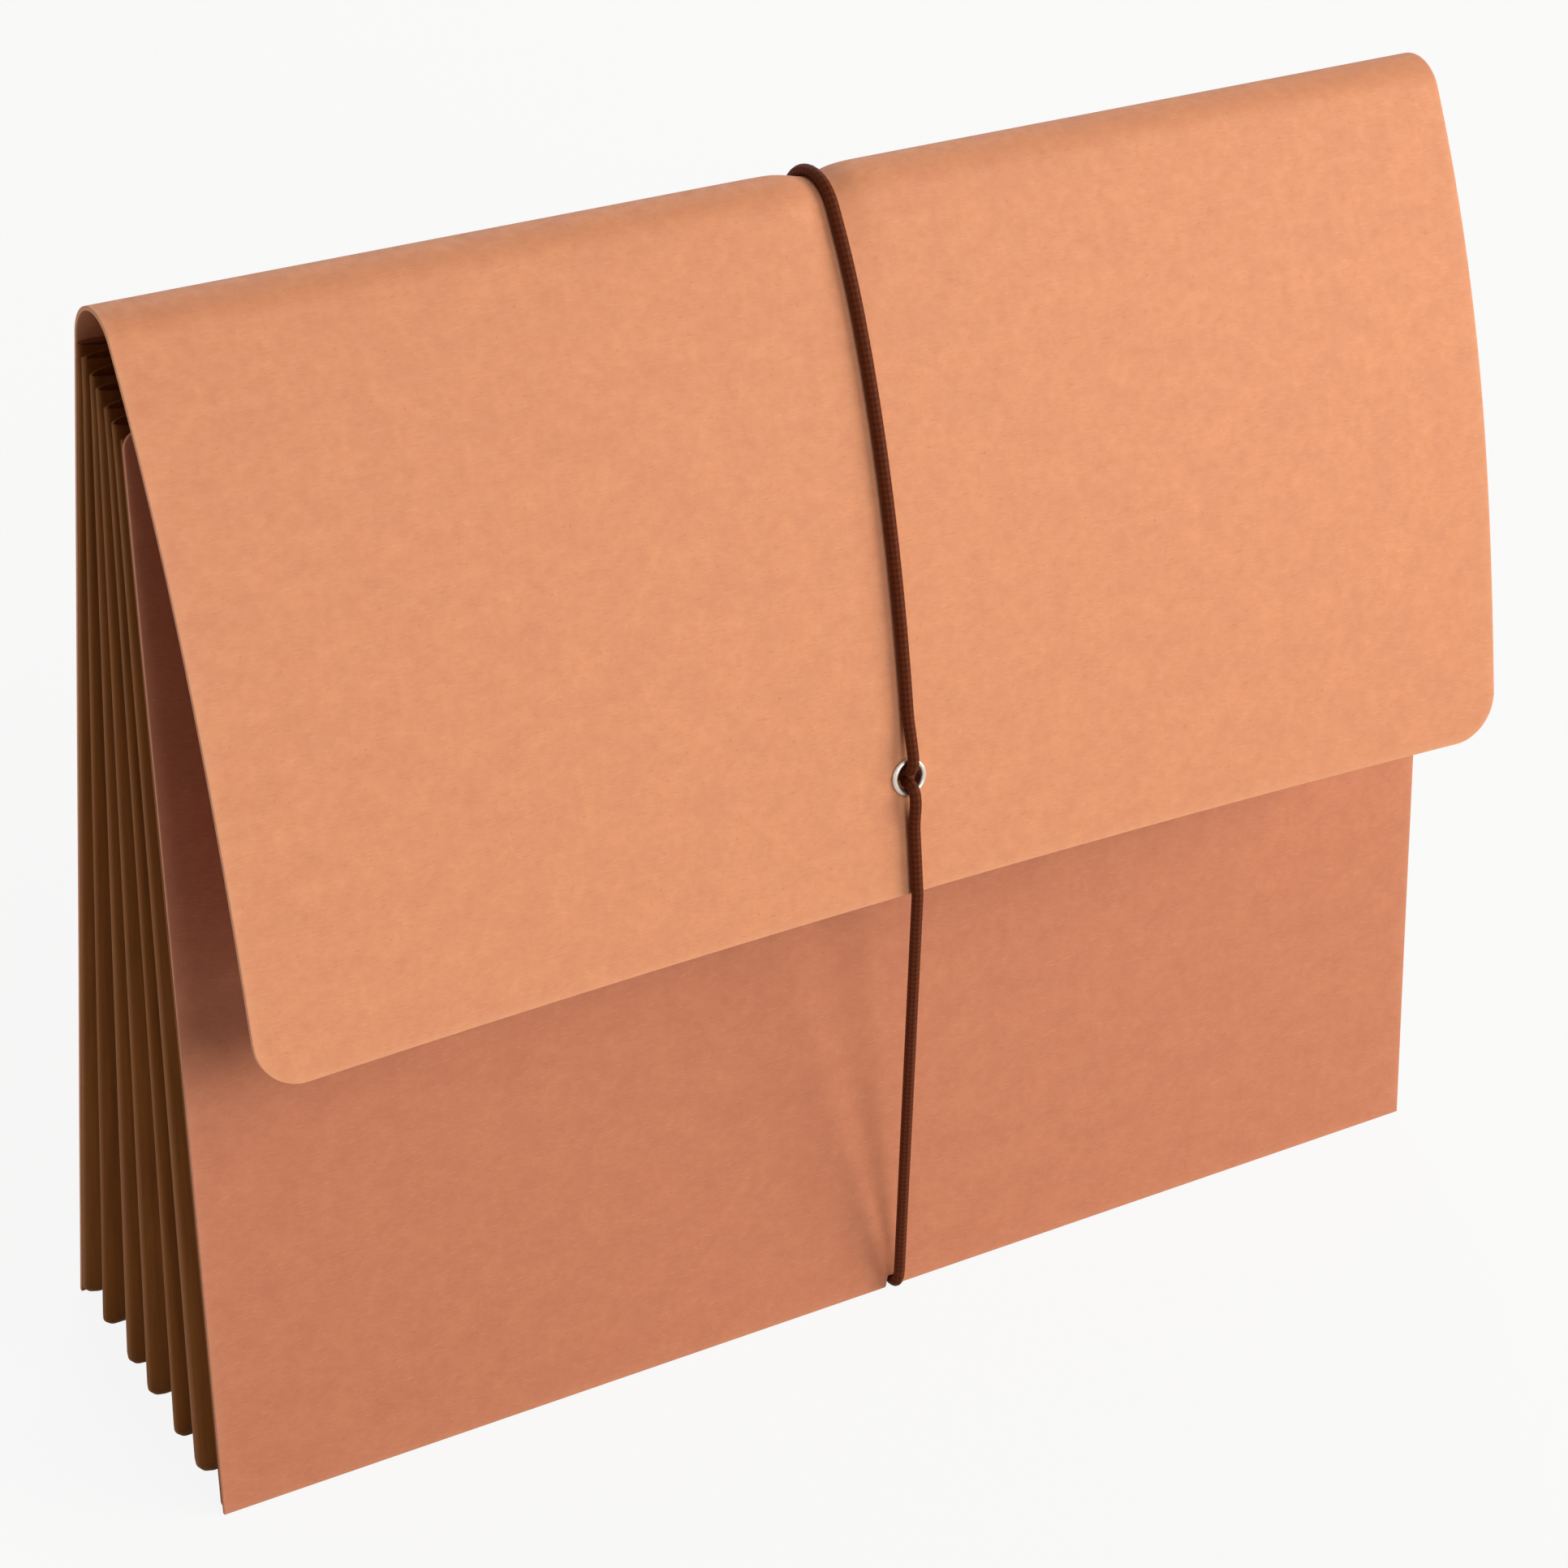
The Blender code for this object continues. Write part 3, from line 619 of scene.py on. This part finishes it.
def lathe(name, profile, sides=64):
    """A closed profile of (radius, lift off the flap's middle) turned about the eyelet's axis."""
    around = np.arange(sides) * 2 * math.pi / sides
    up = outward(EYELET_TURN)
    down = along(EYELET_TURN)
    points, uv = [], []
    closed = list(profile) + [profile[0]]
    for k, (r, lift) in enumerate(closed):
        at = EYELET + lift * up
        ring = np.zeros((sides, 3))
        ring[:, 0] = r * np.cos(around)
        ring[:, 1:] = at + np.outer(r * np.sin(around), down)
        points.append(ring)
        uv.append(np.column_stack([around / (2 * math.pi), np.full(sides, k / len(profile))]))
    obj = grid_object(name, np.array(points), np.array(uv), loop=True)
    weld = obj.modifiers.new("close", "WELD")
    weld.merge_threshold = WELD_GAP
    settle(obj)
    obj.data.shade_smooth()
    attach(obj, "flap")
    return obj


def arc(centre, radius, start, end, steps):
    """Points of an ellipse's arc from start to end, in degrees."""
    turns = np.radians(np.linspace(start, end, steps))
    return [(centre[0] + radius[0] * math.cos(a), centre[1] + radius[1] * math.sin(a)) for a in turns]


def make_eyelet():
    wall = EYELET_BORE_R + EYELET_WALL
    face = BOARD / 2 + EYELET_SEAT
    middle = (EYELET_BORE_R + EYELET_RIM_R) / 2
    reach = (EYELET_RIM_R - EYELET_BORE_R) / 2
    profile = arc((middle, face), (reach, EYELET_TOP - face), 0, 180, 13)
    profile += [(EYELET_BORE_R, -face), (EYELET_BORE_R, -EYELET_TOP)]
    profile += [(wall, -EYELET_TOP), (wall, -face), (wall, face)]
    eyelet = lathe("eyelet_rolled", profile)
    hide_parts("eyelet")
    centre = ((wall + EYELET_RIM_R) / 2, -face - EYELET_SEAT)
    ring = arc(centre, ((EYELET_RIM_R - wall) / 2, WASHER_RISE), 0, -180, 11)
    washer = lathe("eyelet_back_ring", ring)
    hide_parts("eyelet_washer")
    return eyelet, washer


# Materials; colours are linear
SHEET_COLOURS = (0.795, 0.335, 0.172), (0.725, 0.300, 0.160), (0.86, 0.45, 0.28)  # warm, cool, paler rim
# Painted shade: the front panel is the same board as the flap, with darker colours standing in for the light
# and sheen it catches less of
FRONT_SHADED_COLOURS = (0.645, 0.245, 0.134), (0.585, 0.215, 0.120), (0.76, 0.36, 0.22)
BOARD_DEEPER = (0.76, 0.65, 0.62)  # the mottle's colour as a share of the warm one
FIBRE_PALE, FIBRE_DARK, FLECK = (0.93, 0.62, 0.44), (0.42, 0.13, 0.06), (0.35, 0.10, 0.05)
FIBRE_LAYS = (12.0, 1500.0, 210.0), (-38.0, 1300.0, 230.0), (78.0, 1400.0, 190.0)  # turn, across, along
GUSSET_COLOURS = (0.190, 0.058, 0.008), (0.270, 0.088, 0.013)
# The first is a painted highlight along the gusset's outer folds, and the second is the paper's own paler
# grain
GUSSET_RIDGE_HIGHLIGHT, GUSSET_GRAIN = (0.40, 0.175, 0.075), (0.34, 0.14, 0.045)
CORD_STRAND_AND_SHADE_COLOURS = (0.045, 0.008, 0.001), (0.150, 0.026, 0.004)  # painted shade between the strands, and the strands' own colour on them
CORD_FUZZ = (0.19, 0.05, 0.02)
METAL_COLOURS = (0.56, 0.51, 0.45), (0.68, 0.63, 0.57)


class Look:
    """A Principled material and short ways to add the nodes that feed it."""

    def __init__(self, name, colour, roughness, metallic=0.0, specular=0.35):
        self.material = bpy.data.materials.new(name)
        self.material.use_nodes = True
        self.tree = self.material.node_tree
        self.shader = self.tree.nodes["Principled BSDF"]
        self.shader.inputs["Base Color"].default_value = (*colour, 1.0)
        self.shader.inputs["Roughness"].default_value = roughness
        self.shader.inputs["Metallic"].default_value = metallic
        self.shader.inputs["Specular IOR Level"].default_value = specular

    def node(self, kind, **inputs):
        """A node: _name sets its attribute, i0 its first input, and any other name the input of that name."""
        made = self.tree.nodes.new(kind)
        for key, value in inputs.items():
            if key.startswith("_"):
                setattr(made, key[1:], value)
                continue
            socket = made.inputs[int(key[1:])] if key[0] == "i" and key[1:].isdigit() else made.inputs[key]
            self.feed(socket, value)
        return made

    def feed(self, socket, value):
        if isinstance(value, bpy.types.NodeSocket):
            self.tree.links.new(value, socket)
        else:
            socket.default_value = value

    def lay(self, scale, turn=0.0):
        """The piece's own UV map, in units of `scale` to the UV unit, turned by some degrees."""
        uv = self.node("ShaderNodeUVMap", _uv_map="lay")
        mapping = self.node("ShaderNodeMapping", Vector=uv.outputs["UV"])
        mapping.inputs["Scale"].default_value = (*scale, 1.0)
        mapping.inputs["Rotation"].default_value = (0.0, 0.0, math.radians(turn))
        return mapping.outputs["Vector"]

    def noise(self, vector, scale=1.0, detail=3.0, roughness=0.55, distortion=0.0):
        made = self.node("ShaderNodeTexNoise", Vector=vector, Scale=scale, Detail=detail)
        made.inputs["Roughness"].default_value = roughness
        made.inputs["Distortion"].default_value = distortion
        return made.outputs["Fac"]

    def ramp(self, value, low, high, to_low=0.0, to_high=1.0):
        made = self.node("ShaderNodeMapRange", Value=value)
        for key, number in (("From Min", low), ("From Max", high), ("To Min", to_low), ("To Max", to_high)):
            made.inputs[key].default_value = number
        return made.outputs["Result"]

    def calc(self, first, second, operation="ADD"):
        return self.node("ShaderNodeMath", _operation=operation, i0=first, i1=second).outputs[0]

    def mix(self, share, first, second, blend="MIX"):
        made = self.node("ShaderNodeMix", _data_type="RGBA", _blend_type=blend)
        self.feed(made.inputs[0], share)
        self.feed(made.inputs[6], first if isinstance(first, bpy.types.NodeSocket) else (*first, 1.0))
        self.feed(made.inputs[7], second if isinstance(second, bpy.types.NodeSocket) else (*second, 1.0))
        return made.outputs[2]

    def bump(self, height, distance, strength=1.0):
        made = self.node("ShaderNodeBump", Height=height, Strength=strength, Distance=distance)
        self.feed(self.shader.inputs["Normal"], made.outputs["Normal"])

    def put(self, *pieces):
        for piece in pieces:
            piece.data.materials.clear()
            piece.data.materials.append(self.material)


def board_look(name, warm, cool, pale_rim):
    """Dyed fibre board: cloudy colour, short crossing fibres, a few dark flecks and paler cut edges."""
    look = Look(name, warm, 0.66, specular=0.3)
    cloud = look.ramp(look.noise(look.lay((60.0, 60.0)), detail=3.0, roughness=0.6), 0.3, 0.7)
    colour = look.mix(cloud, warm, cool)
    mottle = look.noise(look.lay((190.0, 190.0)), detail=4.0, roughness=0.65)
    deep = tuple(np.multiply(warm, BOARD_DEEPER))
    colour = look.mix(look.ramp(mottle, 0.3, 0.7, 0.0, 0.34), colour, deep)
    fibres = None
    for turn, wide, long in FIBRE_LAYS:
        strand_noise = look.noise(look.lay((long, wide), turn), detail=2.0, distortion=0.5)
        fibres = strand_noise if fibres is None else look.calc(fibres, strand_noise)
    pale = look.ramp(fibres, 1.62, 1.95, 0.0, 0.10)
    colour = look.mix(pale, colour, FIBRE_PALE)
    dark = look.ramp(fibres, 1.36, 1.08, 0.0, 0.16)
    colour = look.mix(dark, colour, FIBRE_DARK)
    fleck = look.ramp(look.noise(look.lay((420.0, 420.0)), detail=1.0), 0.70, 0.78, 0.0, 0.2)
    colour = look.mix(fleck, colour, FLECK)
    rim = look.node("ShaderNodeAttribute", _attribute_name="edge").outputs["Fac"]
    # the colour grows paler within about a millimetre of the board's cut edges
    colour = look.mix(look.calc(rim, 0.3, "MULTIPLY"), colour, pale_rim)
    look.feed(look.shader.inputs["Base Color"], colour)
    rough = look.ramp(mottle, 0.2, 0.8, 0.58, 0.74)
    look.feed(look.shader.inputs["Roughness"], rough)
    look.bump(look.calc(fibres, mottle), 0.00006, 0.5)
    return look


def gusset_look():
    """Dark grained paper, paler where the grain stands up, with a painted highlight along the outer folds."""
    look = Look("gusset_paper", (0.12, 0.042, 0.012), 0.7, specular=0.15)
    grain = look.noise(look.lay((1500.0, 1500.0)), detail=4.0, roughness=0.6)
    streak = look.noise(look.lay((30.0, 900.0)), detail=3.0)
    colour = look.mix(look.ramp(streak, 0.3, 0.7), *GUSSET_COLOURS)
    uv = look.node("ShaderNodeUVMap", _uv_map="lay").outputs["UV"]
    across = look.node("ShaderNodeSeparateXYZ", Vector=uv).outputs["Y"]
    ridge_highlight_mask = look.calc(look.calc(across, 2 * math.pi / PLEAT_LAY, "MULTIPLY"), 0.0, "COSINE")
    # painted highlight on the outer folds of the pleats
    colour = look.mix(look.ramp(ridge_highlight_mask, 0.8, 1.0, 0.0, 0.65), colour, GUSSET_RIDGE_HIGHLIGHT)
    colour = look.mix(look.ramp(grain, 0.55, 0.75, 0.0, 0.3), colour, GUSSET_GRAIN)
    look.feed(look.shader.inputs["Base Color"], colour)
    look.feed(look.shader.inputs["Roughness"], look.ramp(grain, 0.3, 0.7, 0.62, 0.8))
    look.bump(grain, 0.00008, 0.5)
    return look


def cord_look():
    """Round braided elastic: crossing strands, with painted shade between them."""
    look = Look("braided_elastic", (0.10, 0.018, 0.005), 0.7, specular=0.15)
    uv = look.node("ShaderNodeUVMap", _uv_map="lay").outputs["UV"]
    part = look.node("ShaderNodeSeparateXYZ", Vector=uv)
    turn = look.calc(part.outputs["X"], 2 * math.pi * WEAVE_STRANDS, "MULTIPLY")
    run = look.calc(part.outputs["Y"], WEAVE_TURN * CORD_LAY, "MULTIPLY")
    one = look.calc(look.calc(turn, run), 0.0, "COSINE")
    two = look.calc(look.calc(turn, run, "SUBTRACT"), 0.0, "COSINE")
    weave = look.ramp(look.calc(one, two, "MULTIPLY"), -1.0, 1.0)
    fuzz = look.noise(look.lay((60.0, 900.0)), detail=3.0)
    # the colour between the strands is painted shade, and the colour on them is the yarn's own
    colour = look.mix(weave, *CORD_STRAND_AND_SHADE_COLOURS)
    colour = look.mix(look.ramp(fuzz, 0.5, 0.8, 0.0, 0.3), colour, CORD_FUZZ)
    look.feed(look.shader.inputs["Base Color"], colour)
    look.bump(weave, 0.0001, 0.7)
    return look


def metal_look():
    """Nickel-plated metal with fine turning marks and a little dullness."""
    look = Look("plated_metal", (0.62, 0.57, 0.51), 0.32, metallic=1.0, specular=0.5)
    marks = look.noise(look.lay((6.0, 90.0)), scale=4.0, detail=3.0)
    dull = look.noise(look.lay((9.0, 5.0)), scale=2.0, detail=2.0)
    look.feed(look.shader.inputs["Base Color"], look.mix(dull, *METAL_COLOURS))
    look.feed(look.shader.inputs["Roughness"], look.ramp(marks, 0.3, 0.7, 0.26, 0.42))
    look.bump(marks, 0.00002, 0.3)
    return look


# Stage, light and camera
FLOOR_HALF, FLOOR_DROP, FLOOR_COLOUR = 6, 0.0002, (0.6, 0.6, 0.6)
SEEN_WHITE = 0.9  # share of white in what is seen of floor and backdrop; the rest shows the shadow
SKY_COLOUR, SKY_STRENGTH = (1.0, 0.985, 0.97), 0.05
LAMP_AIM = (0.0, 0.0, 0.12)
LAMPS = (  # name, place in metres, size, watts, colour
    ("key", (0.14, -1.36, 0.97), 0.8, 9.5, (1.0, 0.985, 0.965)),
    ("warm", (1.5, -0.9, 0.9), 1.4, 34.0, (1.0, 0.94, 0.80)),
    ("behind", (0.5, 1.5, 1.1), 1.2, 14.0, (1.0, 0.97, 0.93)),
    ("side", (-1.5, 0.15, 0.4), 0.5, 4.1, (1.0, 0.96, 0.90)),
)
FRAME_PIXELS, SENSOR = 1932, 36.0


def white_when_seen(tree, base):
    """Mix white into what the camera, mirrors and glass see of a shader."""
    path = tree.nodes.new("ShaderNodeLightPath")
    glow = tree.nodes.new("ShaderNodeEmission")
    glow.inputs["Strength"].default_value = 1.0
    seen = path.outputs["Is Camera Ray"]
    for name in ("Is Glossy Ray", "Is Transmission Ray"):
        add = tree.nodes.new("ShaderNodeMath")
        add.operation = "MAXIMUM"
        tree.links.new(seen, add.inputs[0])
        tree.links.new(path.outputs[name], add.inputs[1])
        seen = add.outputs[0]
    part = tree.nodes.new("ShaderNodeMath")
    part.operation = "MULTIPLY"
    part.inputs[1].default_value = SEEN_WHITE
    tree.links.new(seen, part.inputs[0])
    mix = tree.nodes.new("ShaderNodeMixShader")
    tree.links.new(part.outputs[0], mix.inputs[0])
    tree.links.new(base, mix.inputs[1])
    tree.links.new(glow.outputs[0], mix.inputs[2])
    return mix.outputs[0]


def make_stage():
    mesh = bpy.data.meshes.new("floor")
    h = FLOOR_HALF
    mesh.from_pydata([(-h, -h, 0), (h, -h, 0), (h, h, 0), (-h, h, 0)], [], [(0, 1, 2, 3)])
    floor = bpy.data.objects.new("floor", mesh)
    bpy.context.scene.collection.objects.link(floor)
    floor.location.z = -FLOOR_DROP
    material = bpy.data.materials.new("floor")
    material.use_nodes = True
    tree = material.node_tree
    shader = tree.nodes["Principled BSDF"]
    shader.inputs["Base Color"].default_value = (*FLOOR_COLOUR, 1.0)
    shader.inputs["Roughness"].default_value = 0.9
    shader.inputs["Specular IOR Level"].default_value = 0.1
    output = tree.nodes["Material Output"]
    tree.links.new(white_when_seen(tree, shader.outputs[0]), output.inputs["Surface"])
    mesh.materials.append(material)

    world = bpy.data.worlds.new("studio")
    bpy.context.scene.world = world
    world.use_nodes = True
    tree = world.node_tree
    sky = tree.nodes["Background"]
    sky.inputs["Color"].default_value = (*SKY_COLOUR, 1.0)
    sky.inputs["Strength"].default_value = SKY_STRENGTH
    output = tree.nodes["World Output"]
    tree.links.new(white_when_seen(tree, sky.outputs[0]), output.inputs["Surface"])


def make_lights():
    for name, place, size, power, colour in LAMPS:
        data = bpy.data.lights.new(name, "AREA")
        data.shape = "DISK"
        data.size = size
        data.energy = power
        data.color = colour
        lamp = bpy.data.objects.new(name, data)
        lamp.location = place
        lamp.rotation_euler = (Vector(LAMP_AIM) - Vector(place)).to_track_quat("-Z", "Y").to_euler()
        bpy.context.scene.collection.objects.link(lamp)


def make_camera():
    """The photograph's view: focal length in pixels of its frame, angles in degrees and lengths in mm."""
    focal, azimuth, elevation, roll, distance = 5043.35, -34.817, 35.508, 6.724, 832.53
    slide_x, slide_y = -15.707, 2.278
    target = np.array([0.0, -50.0 + SHIFT_Y, 120.0])
    a, e, r = map(math.radians, (azimuth, elevation, roll))
    back = np.array([math.sin(a) * math.cos(e), -math.cos(a) * math.cos(e), math.sin(e)])
    right = np.array([math.cos(a), math.sin(a), 0.0])
    up = np.cross(back, right)
    right, up = math.cos(r) * right + math.sin(r) * up, -math.sin(r) * right + math.cos(r) * up
    place = (target + distance * back + slide_x * right + slide_y * up) * MM
    data = bpy.data.cameras.new("camera")
    data.sensor_fit = "HORIZONTAL"
    data.sensor_width = SENSOR
    data.lens = focal / FRAME_PIXELS * SENSOR
    data.clip_start = 0.01
    camera = bpy.data.objects.new("camera", data)
    turn = Matrix((right, up, back)).transposed()
    camera.matrix_world = Matrix.Translation(place) @ turn.to_4x4()
    bpy.context.scene.collection.objects.link(camera)
    bpy.context.scene.camera = camera


make_camera()
sheet = make_sheet()
front = make_front()
gusset = make_gusset()
cords = make_cord_under(), make_cord_over_back(), make_cord_down_front(), make_cord_knot()
metal = make_eyelet()
board_look("board_cover", *SHEET_COLOURS).put(sheet)
# the front panel's board takes the darker copy of the board colours, which is painted shade
board_look("front_cover_shaded", *FRONT_SHADED_COLOURS).put(front)
gusset_look().put(gusset, nodes["gusset_flange_back"], nodes["gusset_flange_front"])
cord_look().put(*cords)
metal_look().put(*metal)
make_stage()
make_lights()
bpy.context.scene.view_settings.view_transform = "Standard"
